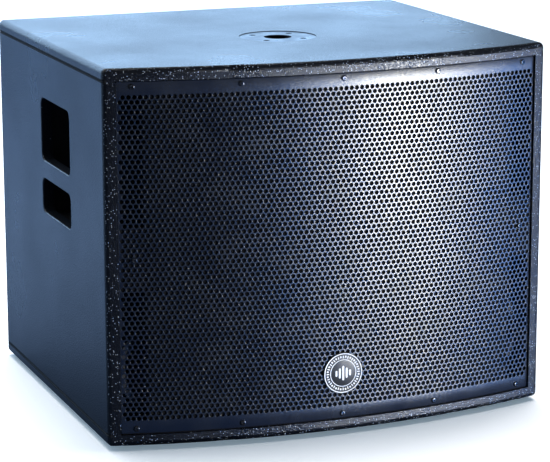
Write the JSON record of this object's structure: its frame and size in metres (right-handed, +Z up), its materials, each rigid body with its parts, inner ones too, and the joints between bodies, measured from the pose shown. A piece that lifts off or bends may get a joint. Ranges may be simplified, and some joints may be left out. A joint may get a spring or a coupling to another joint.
{
  "type": "powered subwoofer cabinet",
  "caption": "Black plywood subwoofer cabinet with a bowed perforated steel grille, hand holes, a pole socket and a rear amplifier plate.",
  "frame": {"origin": "middle of the footprint, on the surface that the feet stand on", "axes": "X across the cabinet, Y from the bowed front to the back, Z up"},
  "size_m": [0.59, 0.518, 0.475],
  "materials": {
    "cabinet_paint": "textured black paint on plywood",
    "bare_plywood": "bare birch plywood, black inside the front",
    "grille_black": "satin black powder coat",
    "screw_black": "black oxide",
    "zinc_steel": "zinc plated",
    "foam_black": "open-cell acoustic foam",
    "cup_plastic": "moulded black plastic",
    "foot_rubber": "black rubber",
    "badge_metal": "black enamel with bright relief",
    "socket_steel": "black painted steel",
    "port_plastic": "moulded black plastic",
    "basket_cast": "black coated casting",
    "gasket_foam": "cork and rubber",
    "surround_cloth": "treated cloth",
    "cone_paper": "coated paper pulp",
    "coil_copper": "enamelled copper",
    "spider_cloth": "resin-dipped cloth",
    "magnet_ferrite": "sintered ferrite",
    "amp_black": "black anodised",
    "case_steel": "galvanised sheet",
    "circuit_board": "green solder mask",
    "capacitor_sleeve": "shrink sleeve",
    "transformer_wrap": "yellow tape over copper",
    "connector_black": "black nylon and metal",
    "knob_plastic": "soft-touch black",
    "rocker_red": "glossy red",
    "lamp_lens": "diffused lens",
    "lead_black": "black sheath",
    "wadding": "polyester wadding"
  },
  "bodies": {
    "cabinet": {"amp_board": "circuit_board", "amp_case": "case_steel", "amp_faceplate": "amp_black", "amp_heatsink": "amp_black", "amp_screws": "screw_black", "back_plate": "zinc_steel", "badge": "badge_metal", "badge_clips": "zinc_steel", "bottom_panel": "cabinet_paint", "capacitors": "capacitor_sleeve", "damping_pads": "wadding", "front_baffle": "bare_plywood", "grille": "grille_black", "grille_batten_bottom": "bare_plywood", "grille_batten_top": "bare_plywood", "grille_blocks": "bare_plywood", "grille_foam": "foam_black", "grille_screws": "screw_black", "handle_cup_left": "cup_plastic", "handle_cup_right": "cup_plastic", "input_sockets": "connector_black", "left_side_panel": "cabinet_paint", "magnet": "magnet_ferrite", "mains_inlet": "connector_black", "output_sockets": "connector_black", "phase_switch": "connector_black", "pole_socket": "socket_steel", "pole_socket_screws": "screw_black", "port_tubes": "port_plastic", "potentiometers": "zinc_steel", "power_switch_housing": "connector_black", "rear_panel": "cabinet_paint", "right_side_panel": "cabinet_paint", "rubber_feet": "foot_rubber", "speaker_lead": "lead_black", "status_leds": "lamp_lens", "terminal_block": "connector_black", "tinsel_leads": "coil_copper", "top_panel": "cabinet_paint", "top_plate": "zinc_steel", "transformer": "transformer_wrap", "window_brace": "bare_plywood", "wood_screws": "zinc_steel", "woofer_basket": "basket_cast", "woofer_bolts": "screw_black", "woofer_gasket": "gasket_foam", "woofer_spider": "spider_cloth", "woofer_surround": "surround_cloth", "woofer_tee_nuts": "zinc_steel"},
    "cone_assembly": {"woofer_cone": "cone_paper", "dust_cap": "cone_paper", "voice_coil": "coil_copper"},
    "level_control": {"level_knob": "knob_plastic", "level_shaft": "zinc_steel"},
    "crossover_control": {"crossover_knob": "knob_plastic", "crossover_shaft": "zinc_steel"},
    "phase_plunger": {"phase_button": "knob_plastic"},
    "power_key": {"power_rocker": "rocker_red"},
    "latch_tab_a": {"latch_a": "zinc_steel"},
    "latch_tab_b": {"latch_b": "zinc_steel"}
  },
  "joints": [
    {"name": "cone_travel", "type": "slide", "parent": "cabinet", "child": "cone_assembly", "axis": [0, -1, 0], "range_m": [-0.008, 0.008], "stiffness_N_per_m": 8000, "deforming": ["woofer_surround", "woofer_spider", "tinsel_leads"]},
    {"name": "level_turn", "type": "hinge", "parent": "cabinet", "child": "level_control", "pos_m": [-0.128, 0.222, 0.222], "axis": [0, 1, 0], "range_deg": [-150, 150]},
    {"name": "crossover_turn", "type": "hinge", "parent": "cabinet", "child": "crossover_control", "pos_m": [-0.084, 0.222, 0.222], "axis": [0, 1, 0], "range_deg": [-150, 150]},
    {"name": "phase_press", "type": "slide", "parent": "cabinet", "child": "phase_plunger", "axis": [0, -1, 0], "range_m": [0, 0.0025], "stiffness_N_per_m": 500},
    {"name": "power_rock", "type": "hinge", "parent": "cabinet", "child": "power_key", "pos_m": [0.122, 0.222, 0.168], "axis": [1, 0, 0], "range_deg": [-20, 0]},
    {"name": "latch_a_press", "type": "slide", "parent": "cabinet", "child": "latch_tab_a", "axis": [0, -1, 0], "range_m": [0, 0.002], "stiffness_N_per_m": 500},
    {"name": "latch_b_press", "type": "slide", "parent": "cabinet", "child": "latch_tab_b", "axis": [0, -1, 0], "range_m": [0, 0.002], "stiffness_N_per_m": 500}
  ]
}
